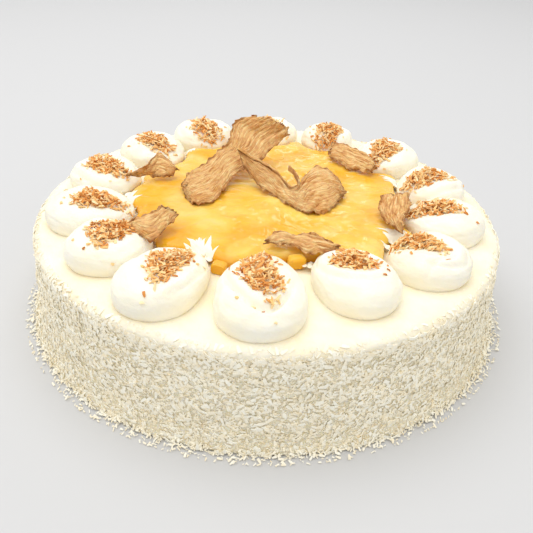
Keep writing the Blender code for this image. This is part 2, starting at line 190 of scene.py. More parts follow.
# Fruit chunks: node, angle (degrees), radius, length, width, height (mm)
CHUNKS = [
    ("fruit_chunk_left", -107.2, 79.0, 6.0, 8.0, 6.0),
    ("fruit_chunk_right", -76.4, 69.5, 7.0, 9.4, 7.0),
]

# Coconut pieces: name, share of all shreds, shape, length, width and thickness (m), warmth of the tint
SHREDS = [
    ("coconut_flakes", 0.20, "flake", (0.0024, 0.0042), (0.0011, 0.0018), (0.0003, 0.0005), 0.05),
    ("coconut_slivers", 0.32, "sliver", (0.0016, 0.0030), (0.0007, 0.0013), (0.0003, 0.0006), 0.18),
    ("coconut_crumbs", 0.48, "crumb", (0.0011, 0.0021), (0.0008, 0.0013), (0.0006, 0.0009), 0.26),
]

# Cream dragged over the topping: angle (degrees), radius (mm), heading (degrees), length (mm)
SMEARS = [
    (-116.3, 78.0, 103.0, 26.0), (-117.0, 75.0, 87.0, 24.0), (-121.0, 72.0, 128.0, 13.0),
    (-114.5, 75.0, 82.0, 16.0), (-126.5, 89.0, 78.0, 12.0), (-161.7, 85.5, 60.0, 13.0),
    (-166.5, 84.5, 58.0, 13.0), (-171.8, 84.0, 60.0, 13.0), (-176.5, 84.0, 50.0, 11.0),
    (179.0, 84.0, 40.0, 9.0), (19.0, 90.0, 160.0, 21.0), (21.5, 89.0, 130.0, 12.0),
    (-26.6, 84.0, 156.0, 21.0), (-34.4, 85.0, 138.0, 15.0), (-30.6, 84.5, 150.0, 17.0),
    (-72.5, 72.5, 100.0, 6.0), (157.0, 83.0, -30.0, 7.0), (129.0, 88.0, -60.0, 7.0),
    (-53.5, 84.0, 110.0, 7.0),
]


# Lengths that a user may change: property, name, description, default (m)
LENGTHS = [
    ("top", "Icing height", "Height of the icing top", 0.058),
    ("rim", "Rim radius", "Radius of the side under the shoulder", 0.1365),
    ("base", "Base radius", "Radius of the side at the foot", 0.1398),
    ("shoulder_width", "Shoulder width", "Width of the rounded edge", 0.0055),
    ("shoulder_drop", "Shoulder drop", "Height of the rounded edge", 0.0042),
    ("heap", "Foot heap", "Width of the coconut heaped at the foot", 0.0045),
    ("coconut_top", "Coconut height", "Upper edge of the coconut coat", 0.0542),
    ("dollop_half_width", "Dollop half width", "Half width of a bulb", 0.0218),
    ("dollop_nose", "Dollop nose", "Length of a bulb's outer half", 0.0225),
    ("dollop_height", "Dollop height", "Height of a dollop", 0.0175),
    ("topping", "Topping thickness", "Thickness of the fruit topping", 0.0066),
    ("crisp", "Crisp thickness", "Thickness of the dried fruit", 0.0013),
]


class CakeSizes(bpy.types.PropertyGroup):
    """Sizes of the cake and its decoration."""
    side_shreds: IntProperty(name="Side shreds", description="Coconut shreds on the side",
                             default=38000, min=1000, max=48000)
    toasted_shreds: IntProperty(name="Toasted shreds", description="Shreds on each dollop",
                                default=320, min=10, max=600)


for key, label, description, default in LENGTHS:
    CakeSizes.__annotations__[key] = FloatProperty(name=label, description=description, default=default,
                                                   unit="LENGTH", precision=4)


class CakeColours(bpy.types.PropertyGroup):
    """Lamp strength and the tint of the floor."""
    floor: FloatVectorProperty(name="Floor", description="Reflected share of the plain floor", size=3,
                               subtype="COLOR", min=0.0, max=1.0, default=(0.635, 0.636, 0.640))
    key: FloatProperty(name="Key light", description="Power of the large soft lamp", default=15.0)
    fill: FloatProperty(name="Fill light", description="Strength of the even surround", default=0.78)


def linear(text):
    """sRGB hex to linear RGBA."""
    values = [int(text[i:i + 2], 16) / 255.0 for i in (0, 2, 4)]
    return [v / 12.92 if v <= 0.04045 else ((v + 0.055) / 1.055) ** 2.4 for v in values] + [1.0]


def put(mat, kind, sockets=None, stops=(), **settings):
    """Add a shader node with its settings and colour stops, and set its sockets or link them.

    A socket is given a value, an output, or a node whose first output is meant; None leaves it alone.
    """
    item = mat.node_tree.nodes.new(NODE_PREFIX + kind)
    for key, value in settings.items():
        setattr(item, key, value)
    for key, value in (sockets or {}).items():
        if isinstance(value, bpy.types.Node):
            value = value.outputs[0]
        if isinstance(value, bpy.types.NodeSocket):
            mat.node_tree.links.new(value, item.inputs[key])
        elif value is not None:
            item.inputs[key].default_value = value
    if stops:
        elements = item.color_ramp.elements
        while len(elements) < len(stops):
            elements.new(0.5)
        for element, (place, colour) in zip(elements, stops):
            element.position = place
            element.color = linear(colour)
    return item


def fresh_material(name):
    """Material with an empty node tree."""
    mat = bpy.data.materials.new(name)
    mat.use_nodes = True
    mat.node_tree.nodes.clear()
    return mat


def whipped_cream(name, pale, deep, marks, soft=0.25, edge=None):
    """Whipped cream: soft, dense and faintly translucent, matt with a fatty satin sheen."""
    mat = fresh_material(name)
    place = put(mat, "TexCoord").outputs["Object"]
    clouds = put(mat, "TexNoise", {"Vector": place, "Scale": 1.0 / 0.020, "Detail": 2.0, "Roughness": 0.55})
    tone = put(mat, "ValToRGB", {"Fac": clouds}, stops=[(0.35, pale), (0.68, deep)])
    # air bubbles about a millimetre wide, then spatula and nozzle marks of 3 and 8 mm
    normal = None
    for size, detail, roughness, squeeze, depth, strength in (
            (0.0012, 3.0, 0.60, 1.0, 0.00018, 0.7),
            (0.0030, 3.0, 0.60, 1.8, 0.00050, marks),
            (0.0080, 2.0, 0.55, 1.0, 0.00090, marks)):
        squeezed = put(mat, "Mapping", {"Vector": place, "Scale": (1.0, 1.0, squeeze)})
        grain = put(mat, "TexNoise", {
            "Vector": squeezed, "Scale": 1.0 / size, "Detail": detail, "Roughness": roughness})
        normal = put(mat, "Bump", {
            "Height": grain, "Distance": depth, "Strength": strength, "Normal": normal})
    if edge is not None:
        # below its edge the cream is soaked into fine coconut: beige, crumbly, with pale flecks
        level = put(mat, "SeparateXYZ", {"Vector": place}).outputs["Z"]
        below = put(mat, "MapRange", {"Value": level, "From Min": edge, "From Max": edge - 0.0025})
        squeezed = put(mat, "Mapping", {"Vector": place, "Scale": (1.0, 1.0, 1.6)})
        crumbs = put(mat, "TexNoise", {
            "Vector": squeezed, "Scale": 1.0 / 0.0016, "Detail": 4.0, "Roughness": 0.65})
        coat = put(mat, "ValToRGB", {"Fac": crumbs}, stops=[
            (0.34, "F3E1B6"), (0.46, "F8ECCC"), (0.58, "FCF3DC"), (0.70, "FFFAEA")])
        tone = put(mat, "Mix", {
            FACTOR: below, COLOUR_A: tone, COLOUR_B: coat}, data_type="RGBA").outputs[MIXED]
        grainy = put(mat, "Math", {0: crumbs, 1: below}, operation="MULTIPLY")
        normal = put(mat, "Bump", {"Height": grainy, "Distance": 0.0012, "Strength": 1.0, "Normal": normal})
    shader = put(mat, "BsdfPrincipled", {
        "Base Color": tone, "Roughness": 0.46, "IOR": 1.45, "Specular IOR Level": 0.3,
        "Subsurface Weight": soft, "Subsurface Radius": (1.0, 0.85, 0.5), "Subsurface Scale": 0.003,
        "Normal": normal})
    put(mat, "OutputMaterial", {"Surface": shader})
    return mat


def coconut(name, stops):
    """Desiccated coconut: dry fibrous flakes with a waxy, slightly shiny white flesh."""
    mat = fresh_material(name)
    place = put(mat, "TexCoord").outputs["Object"]
    tint = put(mat, "Attribute", attribute_name="tint").outputs["Fac"]
    tone = put(mat, "ValToRGB", {"Fac": tint}, stops=stops)
    grain = put(mat, "TexNoise", {"Vector": place, "Scale": 1.0 / 0.0009, "Detail": 2.0, "Roughness": 0.55})
    normal = put(mat, "Bump", {"Height": grain, "Distance": 0.00012, "Strength": 0.5})
    shader = put(mat, "BsdfPrincipled", {
        "Base Color": tone, "Roughness": 0.60, "IOR": 1.45, "Specular IOR Level": 0.3, "Normal": normal})
    put(mat, "OutputMaterial", {"Surface": shader})
    return mat


def pineapple_compote(name, painted_edge_shade):
    """Pineapple compote: glossy set gel with pale soft fruit just under its surface."""
    mat = fresh_material(name)
    place = put(mat, "TexCoord").outputs["Object"]
    stretched = put(mat, "Mapping", {"Vector": place, "Scale": (1.0, 1.3, 1.0)})
    fruit = put(mat, "TexNoise", {"Vector": stretched, "Scale": 1.0 / 0.026, "Detail": 1.5, "Roughness": 0.5})
    tone = put(mat, "ValToRGB", {"Fac": fruit}, stops=[
        (0.36, "EBA81C"), (0.46, "F1B832"), (0.54, "F6C54C"), (0.64, "FAD47A")])
    # blocks of fruit about 20 mm wide, each a little paler or deeper
    cells = put(mat, "TexVoronoi", {
        "Vector": place, "Scale": 48.0, "Smoothness": 0.4}, feature="SMOOTH_F1").outputs["Color"]
    pick = put(mat, "SeparateColor", {"Color": cells})
    blocks = put(mat, "ValToRGB", {"Fac": pick}, stops=[(0.25, "EFB026"), (0.75, "FBD978")])
    tone = put(mat, "Mix", {FACTOR: 0.42, COLOUR_A: tone, COLOUR_B: blocks}, data_type="RGBA").outputs[MIXED]
    stretched = put(mat, "Mapping", {"Vector": place, "Scale": (1.0, 2.8, 1.0)})
    fibres = put(mat, "TexNoise", {
        "Vector": stretched, "Scale": 1.0 / 0.0045, "Detail": 2.0, "Roughness": 0.5})
    threads = put(mat, "ValToRGB", {"Fac": fibres}, stops=[(0.3, "D98C10"), (0.7, "FFEBA8")])
    tone = put(mat, "Mix", {FACTOR: 0.08, COLOUR_A: tone, COLOUR_B: threads},
               data_type="RGBA", blend_type="SOFT_LIGHT").outputs[MIXED]
    # the upright edge of the gel, turned away from the top light, is painted a deeper amber: painted shade
    facing = put(mat, "NewGeometry").outputs["Normal"]
    upright = put(mat, "SeparateXYZ", {"Vector": facing}).outputs["Z"]
    edge = put(mat, "MapRange", {
        "Value": upright, "From Min": 0.0, "From Max": 0.55, "To Min": painted_edge_shade, "To Max": 0.0})
    tone = put(mat, "Mix", {
        FACTOR: edge, COLOUR_A: tone, COLOUR_B: linear("EAA218")}, data_type="RGBA").outputs[MIXED]
    # soft lumps of 11 mm over a finer ripple of 4 mm
    normal = None
    for size, depth, strength in ((0.0036, 0.00016, 0.4), (0.011, 0.0008, 0.6)):
        swell = put(mat, "TexNoise", {"Vector": place, "Scale": 1.0 / size, "Detail": 2.0, "Roughness": 0.55})
        normal = put(mat, "Bump", {
            "Height": swell, "Distance": depth, "Strength": strength, "Normal": normal})
    shader = put(mat, "BsdfPrincipled", {
        "Base Color": tone, "Roughness": 0.22, "IOR": 1.40, "Specular IOR Level": 0.35,
        "Subsurface Weight": 0.30, "Subsurface Radius": (1.0, 0.6, 0.15), "Subsurface Scale": 0.003,
        "Coat Weight": 0.2, "Coat Roughness": 0.05, "Normal": normal})
    put(mat, "OutputMaterial", {"Surface": shader})
    return mat


def dried_pineapple():
    """Dried pineapple: leathery tan slices whose fibres stand out as ridges along the slice."""
    mat = fresh_material("dried_pineapple")
    place = put(mat, "TexCoord").outputs["Object"]
    # fibre bundles about 1 mm apart across the slice, long along it; the same pattern raises the ridges, so
    # their colour is partly the fibres' own and partly painted highlight on the ridge tops and painted shade
    # in the grooves
    uv = put(mat, "UVMap", uv_map="slice")
    stretched = put(mat, "Mapping", {"Vector": uv, "Scale": (0.10, 1.0, 1.0)})
    threads = put(mat, "TexNoise", {
        "Vector": stretched, "Scale": 1.15, "Detail": 4.0, "Roughness": 0.62, "Distortion": 0.5})
    tone = put(mat, "ValToRGB", {"Fac": threads}, stops=[
        (0.34, "9E662E"), (0.44, "D29A58"), (0.54, "F0C486"), (0.66, "FFECC2")])
    # broad tan patches, then the tissue between the fibres, dried to pale and brown flecks of 2 mm
    for size, roughness, share, blend, stops in (
            (0.012, 0.55, 0.34, "MIX", [(0.36, "C08848"), (0.64, "FBDCAA")]),
            (0.0022, 0.65, 0.30, "OVERLAY", [(0.36, "A87444"), (0.50, "D2AE80"), (0.64, "F4E0BC")])):
        spots = put(mat, "TexNoise", {
            "Vector": place, "Scale": 1.0 / size, "Detail": 3.0, "Roughness": roughness})
        shades = put(mat, "ValToRGB", {"Fac": spots}, stops=stops)
        tone = put(mat, "Mix", {FACTOR: share, COLOUR_A: tone, COLOUR_B: shades},
                   data_type="RGBA", blend_type=blend).outputs[MIXED]
    # darker brown in patches along the thin border
    rim = put(mat, "Attribute", attribute_name="rim").outputs["Fac"]
    uneven = put(mat, "TexNoise", {"Vector": place, "Scale": 1.0 / 0.004, "Detail": 2.0, "Roughness": 0.55})
    patchy = put(mat, "MapRange", {"Value": uneven, "From Min": 0.35, "From Max": 0.6})
    darker_border = put(mat, "Math", {0: rim, 1: patchy}, operation="MULTIPLY")
    tone = put(mat, "Mix", {
        FACTOR: darker_border, COLOUR_A: tone, COLOUR_B: linear("8E5220")}, data_type="RGBA").outputs[MIXED]
    pores = put(mat, "TexNoise", {"Vector": place, "Scale": 1.0 / 0.0016, "Detail": 3.0, "Roughness": 0.55})
    normal = put(mat, "Bump", {"Height": pores, "Distance": 0.0005, "Strength": 0.8})
    normal = put(mat, "Bump", {"Height": threads, "Distance": 0.0010, "Strength": 1.0, "Normal": normal})
    shader = put(mat, "BsdfPrincipled", {
        "Base Color": tone, "Roughness": 0.60, "IOR": 1.45, "Specular IOR Level": 0.3,
        "Subsurface Weight": 0.10, "Subsurface Radius": (1.0, 0.6, 0.3), "Subsurface Scale": 0.002,
        "Normal": normal})
    put(mat, "OutputMaterial", {"Surface": shader})
    return mat


def finished(piece, mat, slot, *nodes, rounded=True):
    """Give the piece its material, shading and body, and hide the nodes that it stands for; the slot argument
    is not used.
    """
    piece.data.materials.clear()
    piece.data.materials.append(mat)
    for face in piece.data.polygons:
        face.use_smooth = rounded
    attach(piece, BODY)
    if nodes:
        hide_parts(*nodes)


def add_sphere(name, segments, rings):
    """A unit sphere whose rings are then drawn out into the real shape."""
    bpy.ops.object.select_all(action="DESELECT")
    bpy.ops.mesh.primitive_uv_sphere_add(segments=segments, ring_count=rings, radius=1.0)
    piece = bpy.context.active_object
    piece.name = piece.data.name = name
    return piece


def get_points(piece):
    points = np.empty(len(piece.data.vertices) * 3)
    piece.data.vertices.foreach_get("co", points)
    return points.reshape(-1, 3)


def set_points(piece, points):
    piece.data.vertices.foreach_set("co", np.ascontiguousarray(points, dtype=np.float32).ravel())
    piece.data.update()


def lumps(points, size, seed=0.0):
    """Smooth noise between about -1 and 1 for each point, with features of about size metres."""
    scale = 1.0 / size
    return np.array([noise.noise(Vector((x * scale + seed, y * scale, z * scale))) for x, y, z in points])


def smooth(low, high, value):
    """Share from 0 at low to 1 at high, easing in and out."""
    part = np.clip((value - low) / (high - low), 0.0, 1.0)
    return part * part * (3.0 - 2.0 * part)


def polar(radius, angle, height):
    """Points from their distance from the axis, their angle and their height."""
    return np.stack([radius * np.cos(angle), radius * np.sin(angle), height], axis=1)


def rotated(x, y, angle):
    """Turn places in the plane by an angle in radians."""
    return x * math.cos(angle) - y * math.sin(angle), x * math.sin(angle) + y * math.cos(angle)


def carried(matrix, x, y):
    """Places in the plane moved by a placement matrix."""
    return [row[0] * x + row[1] * y + row[3] for row in matrix[:2]]


def ring_profile(piece, section):
    """Angle, radius and height of each point of a sphere whose rings follow a section, top first."""
    points = get_points(piece)
    share = np.arccos(np.clip(points[:, 2], -1.0, 1.0)) / math.pi
    steps = np.linspace(0.0, 1.0, len(section))
    radius, height = (np.interp(share, steps, column) for column in np.array(section).T)
    return np.arctan2(points[:, 1], points[:, 0]), radius, height


def ray_tree(piece):
    """Search tree of the piece's faces."""
    return BVHTree.FromPolygons([v.co[:] for v in piece.data.vertices],
                                [list(f.vertices) for f in piece.data.polygons])


def drop_onto(tree, x, y):
    """Point and normal where a ray from far above comes down on the tree's faces."""
    return tree.ray_cast(Vector((x, y, 0.2)), Vector((0.0, 0.0, -1.0)))[:2]


def icing_height(sizes, radius):
    """Height of the icing over a radius: flat, then rounded down to the side."""
    inner = sizes.rim - sizes.shoulder_width
    share = np.clip((radius - inner) / sizes.shoulder_width, 0.0, 1.0)
    return sizes.top - sizes.shoulder_drop * (1.0 - np.sqrt(np.maximum(1.0 - share * share, 0.0)))


def side_radius(sizes, height):
    """Radius of the side at a height, flared by the coconut heaped at the foot."""
    part = np.clip(1.0 - height / (sizes.top - sizes.shoulder_drop), 0.0, 1.0)
    lean = sizes.rim + (sizes.base - sizes.rim) * part ** 1.3
    return lean + sizes.heap * np.exp(-height / 0.004)


def side_swell(points):
    """Drifts and dents of the coat, 5 to 13 mm across and wider than high."""
    flat = points * np.array([1.0, 1.0, 1.7])
    return lumps(flat, 0.013, 5.0) * 0.0012 + lumps(flat, 0.0055, 6.0) * 0.0009


def mesh_from_arrays(name, verts, faces, tint):
    """Object from plain arrays of points, equal-sided faces and a tint for each point."""
    mesh = bpy.data.meshes.new(name)
    count, sides = faces.shape
    mesh.vertices.add(len(verts))
    mesh.vertices.foreach_set("co", verts.astype(np.float32).ravel())
    mesh.loops.add(count * sides)
    mesh.loops.foreach_set("vertex_index", faces.astype(np.int32).ravel())
    mesh.polygons.add(count)
    mesh.polygons.foreach_set("loop_start", np.arange(0, count * sides, sides, dtype=np.int32))
    mesh.update(calc_edges=True)
    mesh.validate()
    write_shares(mesh, "tint", tint)
    return link_mesh(name, mesh)


def link_mesh(name, mesh):
    piece = bpy.data.objects.new(name, mesh)
    bpy.context.scene.collection.objects.link(piece)
    return piece


def write_shares(mesh, name, shares):
    """Store a value for each point of the mesh, for its material to read."""
    layer = mesh.attributes.new(name, "FLOAT", "POINT")
    layer.data.foreach_set("value", np.asarray(shares, dtype=np.float32))


def model_shred(shape):
    """One shred a unit long, as points and faces: a crumb is a three-sided sliver, a sliver a cube drawn
    out and tapered, and a flake is curled as well."""
    bpy.ops.object.select_all(action="DESELECT")
    if shape == "crumb":
        bpy.ops.mesh.primitive_cone_add(vertices=3, radius1=0.5, radius2=0.28, depth=1.0,
                                        rotation=(0.0, math.radians(90.0), 0.0))
        bpy.ops.object.transform_apply(location=False, rotation=True, scale=False)
    else:
        bpy.ops.mesh.primitive_cube_add(size=1.0)
    shred = bpy.context.active_object
    bpy.ops.object.mode_set(mode="EDIT")
    bpy.ops.mesh.select_all(action="SELECT")
    if shape == "crumb":
        bpy.ops.mesh.quads_convert_to_tris()
    elif shape == "flake":
        bpy.ops.mesh.bisect(plane_co=(0.0, 0.0, 0.0), plane_no=(1.0, 0.0, 0.0))
    bpy.ops.object.mode_set(mode="OBJECT")
    points = get_points(shred)
    if shape != "crumb":
        points[:, 1] *= np.where(points[:, 0] > 0.1, 0.55, 1.0)
        points[:, 2] *= np.where(points[:, 0] > 0.1, 0.7, 1.0)
        points[:, 2] += np.where(abs(points[:, 0]) < 0.1, 0.5, 0.0)
    faces = np.array([list(face.vertices) for face in shred.data.polygons])
    bpy.data.objects.remove(shred, do_unlink=True)
    return points, faces


def scatter(name, shred, centres, along, outward, sizes, tint):
    """Copy one shred to every place, turned along its direction, as one joined mesh."""
    points, faces = shred
    along = along / np.linalg.norm(along, axis=1, keepdims=True)
    side = np.cross(outward, along)
    side /= np.linalg.norm(side, axis=1, keepdims=True) + 1e-9
    normal = np.cross(along, side)
    axes = np.stack([along, side, normal], axis=1) * sizes[:, :, None]
    placed = centres[:, None, :] + points @ axes
    offsets = np.arange(len(centres))[:, None, None] * len(points)
    joined = (faces[None] + offsets).reshape(-1, faces.shape[1])
    return mesh_from_arrays(name, placed.reshape(-1, 3), joined, np.repeat(tint, len(points)))


def dollop_place(index):
    """Matrix that carries a dollop from its own axes, nose along +X, to its place on the cake."""
    angle, radius = math.radians(DOLLOPS[index][0]), DOLLOPS[index][1] * MM
    place = Matrix.Translation((radius * math.cos(angle), radius * math.sin(angle), 0.0))
    return np.array(place @ Matrix.Rotation(angle, 4, "Z"))


def dollop_plan(part):
    """Half width along the dollop as a share of the bulb's, from tail (-1) to nose (1)."""
    nose = np.sqrt(np.maximum(1.0 - part * part, 0.0))
    back = np.clip(-part, 0.0, 1.0)
    tail = np.sqrt(np.maximum(1.0 - back ** 2.4, 0.0)) * (1.0 - 0.16 * back ** 1.5)
    return np.where(part >= 0.0, nose, tail)


def shape_dollop(points, index, sizes):
    """Draw a unit sphere out into a piped teardrop that sits on the icing."""
    _, _, tail, width, height = DOLLOPS[index]
    cx, cy, half_long, half_wide, turn = CLUSTERS[index]
    part = points[:, 0]
    ring = np.sqrt(np.maximum(1.0 - part * part, 1e-9))
    across, upright = points[:, 1] / ring, points[:, 2] / ring
    across = np.sign(across) * abs(across) ** 0.86
    upright = np.sign(upright) * abs(upright) ** 0.86 * ring ** 0.92
    x = part * np.where(part > 0.0, sizes.dollop_nose, tail * MM)
    y = across * dollop_plan(part) * sizes.dollop_half_width * width
    lift = np.clip((upright - DOLLOP_CUT) / (1.0 - DOLLOP_CUT), 0.0, 1.0)
    slope = np.where(part > 0.0, 1.0, 1.0 - 0.25 * part ** 2)
    z = lift * sizes.dollop_height * height * slope
    dx, dy = rotated(x - cx * MM, y - cy * MM, -math.radians(turn))
    reach = np.sqrt((dx / (half_long * 1.02 * MM)) ** 2 + (dy / (half_wide * 1.05 * MM)) ** 2)
    z -= HOLLOW_DEPTH * np.exp(-reach ** 2 * 1.1) * lift
    # lip thrown up round the hollow and one soft fold outside it, where the nozzle was lifted
    around = np.arctan2(dy, dx)
    front = -0.75 if index == 0 else 2.2 + 2.4 * index
    swing = 0.5 + 0.5 * np.cos(around - front)
    depth = FOLD_DEPTHS[index] if index < len(FOLD_DEPTHS) else 0.0007 + 0.0004 * math.sin(2.0 * index)
    ringed = reach + 0.10 * lumps(np.stack([x, y, z], axis=1), 0.03, 1.7 * index)
    fold = 1.0 + 0.45 * np.sin(around) ** 2 if index == 0 else 1.55 + 0.10 * math.cos(3.0 * index)
    z += 0.0013 * np.exp(-((ringed - fold + 0.22) / 0.17) ** 2) * lift * (0.4 + 0.6 * swing)
    z -= depth * np.exp(-((ringed - fold - 0.05) / 0.070) ** 2) * lift * smooth(0.30, 0.75, swing)
    if index == 2:
        # one sharp wavy crease across the nose
        crease = abs(x - 0.0125 - 0.35 * (y + 0.004) + 0.0012 * np.sin(y / 0.0026))
        z -= 0.0022 * np.exp(-(crease / 0.0011) ** 2) * smooth(0.0, -0.004, y) * lift
    shape = np.stack([x, y, z], axis=1)
    seed = 7.3 * index
    creased = shape * np.array([1.0, 1.0, 1.9])
    swell = lumps(shape, 0.017, seed) * 0.0013 + lumps(creased, 0.0068, seed + 40.0) * 0.00075
    swell += lumps(creased, 0.0030, seed + 50.0) * 0.00018
    # faint rings left by the growing dollop, closer near its foot
    level = shape[:, 2] + 0.0012 * lumps(shape, 0.018, seed + 9.0)
    lines = np.sin(level / 0.0019 * math.tau) * 0.00008 + np.sin(level / 0.0034 * math.tau + 1.0) * 0.00007
    lines *= smooth(0.95, 0.45, lift) * (0.5 + 0.7 * lumps(shape, 0.012, seed + 60.0))
    shape += points * (swell * (0.25 + 0.75 * lift) + lines)[:, None] * np.array([1.0, 1.0, 0.8])
    matrix = dollop_place(index)
    world = shape @ matrix[:3, :3].T + matrix[:3, 3]
    radius = np.hypot(world[:, 0], world[:, 1])
    drop = sizes.top - icing_height(sizes, radius)
    world[:, 2] += sizes.top - 0.0002 - drop * (1.0 - lift) ** 1.6
    return world


def reach_at(angle):
    """Radius the topping would reach at an angle (radians), smoothed between the given points."""
    first = TOPPING_REACH[0][0]
    degrees = (np.degrees(angle) - first) % 360.0 + first
    table = np.array(TOPPING_REACH + [(first + 360.0, TOPPING_REACH[0][1])], float)
    index = np.clip(np.searchsorted(table[:, 0], degrees, side="right") - 1, 0, len(table) - 2)
    share = (degrees - table[index, 0]) / (table[index + 1, 0] - table[index, 0])
    share = share * share * (3.0 - 2.0 * share)
    return (table[index, 1] + (table[index + 1, 1] - table[index, 1]) * share) * MM


def topping_edge(sizes, angle):
    """Outer radius of the topping at each angle, held back where a dollop stands in its way."""
    steps = np.arange(0.055, 0.100, 0.0003)
    radius, theta = np.meshgrid(steps, angle)
    x, y = radius * np.cos(theta), radius * np.sin(theta)
    blocked = radius > reach_at(theta)
    margin = 0.0009
    for index, (_, _, tail, width, _) in enumerate(DOLLOPS):
        lx, ly = carried(np.linalg.inv(dollop_place(index)), x, y)
        part = lx / (np.where(lx > 0.0, sizes.dollop_nose, tail * MM) + margin)
        inside = abs(part) < 1.0
        half = sizes.dollop_half_width * width * dollop_plan(np.clip(part, -1.0, 1.0)) + margin
        blocked |= inside & (abs(ly) < half)
    blocked[:, -1] = True
    edge = steps[np.argmax(blocked, axis=1)] - 0.0004
    around = np.concatenate([edge[-6:], edge, edge[:6]])
    kernel = np.array([1.0, 2.0, 3.0, 4.0, 3.0, 2.0, 1.0])
    blurred = np.convolve(around, kernel / kernel.sum(), mode="same")[6:-6]
    return np.minimum(edge, blurred)


def topping_height(sizes, points):
    """Soft lumps of fruit under the gel."""
    flat = points * np.array([1.0, 1.0, 0.0])
    fruit = lumps(flat * np.array([1.0, 1.5, 1.0]), 0.020, 3.0)
    small = lumps(flat * np.array([1.0, 1.3, 1.0]), 0.0085, 9.0)
    height = sizes.topping + 0.0008 * fruit + 0.0005 * smooth(-0.15, 0.3, small)
    return height + 0.00025 * lumps(flat, 0.004, 5.0)


def along_stations(stations, share):
    """Edge points of a slice at shares of its length, on smooth curves through the stations."""
    table = np.array(stations, float) * MM
    count = len(table)
    place = np.clip(share, 0.0, 1.0) * (count - 1)
    index = np.minimum(place.astype(int), count - 2)
    t = (place - index)[:, None, None]
    p0, p1 = table[np.maximum(index - 1, 0)], table[index]
    p2, p3 = table[index + 1], table[np.minimum(index + 2, count - 1)]
    return 0.5 * (2.0 * p1 + (p2 - p0) * t + (2.0 * p0 - 5.0 * p1 + 4.0 * p2 - p3) * t * t
                  + (3.0 * p1 - p0 - 3.0 * p2 + p3) * t ** 3)


def shape_slice(piece, stations, seed, bulge, rolled):
    """Bend a flat grid into a dried slice: crinkled fibre ridges, frayed ends and a rolled edge."""
    points = get_points(piece)
    share, across = points[:, 0] * 0.5 + 0.5, points[:, 1] * 0.5 + 0.5
    edges = along_stations(stations, share)
    first, second = edges[:, 0], edges[:, 1]
    width = np.linalg.norm(second - first, axis=1)
    place = first + (second - first) * across[:, None]
    step = along_stations(stations, np.clip(share + 0.01, 0.0, 1.0))
    step = step - along_stations(stations, np.clip(share - 0.01, 0.0, 1.0))
    forward = step[:, 0] * (1.0 - across[:, None]) + step[:, 1] * across[:, None]
    forward /= np.linalg.norm(forward, axis=1, keepdims=True) + 1e-9
    sideways = (second - first) / (width[:, None] + 1e-9)
    normal = np.cross(sideways, forward)
    normal *= np.where(normal[:, 2:3] < 0.0, -1.0, 1.0)
    normal /= np.linalg.norm(normal, axis=1, keepdims=True) + 1e-9
    centre = np.array(stations, float).mean(axis=1) * MM
    length = np.linalg.norm(np.diff(centre, axis=0), axis=1).sum()
    grain = np.stack([share * length, across * np.maximum(width, 0.012), share * 0.0], axis=1)
    broad = lumps(grain * np.array([0.6, 1.0, 1.0]), 0.016, seed)
    ribs = lumps(grain * np.array([0.14, 1.0, 1.0]), 0.0030, seed + 5.0)
    hair = lumps(grain * np.array([0.16, 1.0, 1.0]), 0.0012, seed + 9.0)
    crinkle = lumps(grain * np.array([1.0, 0.7, 1.0]), 0.0050, seed + 13.0)
    middle = 1.0 - (2.0 * across - 1.0) ** 2
    calm = np.minimum(1.0, width / 0.014)
    relief = 0.035 * width * middle
    relief += calm * (0.0017 * np.maximum(broad, -0.35) + 0.0012 * ribs + 0.0005 * hair + 0.0010 * crinkle)
    place += normal * relief[:, None]
    place += forward * (bulge * middle * smooth(0.72, 1.0, share) * MM)[:, None]
    place -= forward * (0.5 * bulge * middle * smooth(0.25, 0.0, share) * MM)[:, None]
    # ends of the fibres break off unevenly
    torn = lumps(grain * np.array([0.3, 1.0, 1.0]), 0.0026, seed + 3.0)
    torn += 0.6 * lumps(grain, 0.0012, seed + 8.0)
    end = np.maximum(smooth(0.88, 1.0, share), smooth(0.12, 0.0, share))
    edge = np.maximum(smooth(0.90, 1.0, across), smooth(0.10, 0.0, across))
    place += forward * (torn * 0.0030 * end)[:, None]
    ragged = lumps(grain, 0.0042, seed + 21.0) * 0.0017 + lumps(grain, 0.0016, seed + 25.0) * 0.0007
    place += sideways * (ragged * edge)[:, None]
    # the thin border curls up and down where it dried fastest
    near = np.minimum(np.minimum(share, 1.0 - share) * length, np.minimum(across, 1.0 - across) * width)
    frill = lumps(grain, 0.0058, seed + 31.0) * 0.0027 + lumps(grain, 0.0026, seed + 35.0) * 0.0012
    place += normal * (np.maximum(frill, -0.0006) * smooth(0.0050, 0.0004, near))[:, None]
    if rolled:
        # the upper edge has curled into a tube while drying
        start, tube = 0.17, 0.0013
        turned = np.clip((start - across) / start, 0.0, 1.0) * 3.6
        lip = along_stations(stations, share)
        lip = lip[:, 0] + (lip[:, 1] - lip[:, 0]) * start
        curl = lip - sideways * (tube * np.sin(turned))[:, None]
        curl += normal * (tube * (1.0 - np.cos(turned)) + relief * 0.8)[:, None]
        mix = (smooth(0.66, 0.52, share) * (across < start))[:, None]
        place = place * (1.0 - mix) + curl * mix
    set_points(piece, place)
    rim = smooth(0.0024, 0.0002, near) * 0.9
    if rolled:
        rim *= 1.0 - mix[:, 0]
    write_shares(piece.data, "rim", rim)
    set_weights(piece, smooth(0.0002, 0.0045, near))
    return share, across


def set_weights(piece, weights):
    """Share of the full thickness at each point: the border dries thinner than the middle."""
    group = piece.vertex_groups.new(name="body")
    for index, weight in enumerate(weights):
        group.add([index], float(weight), "REPLACE")


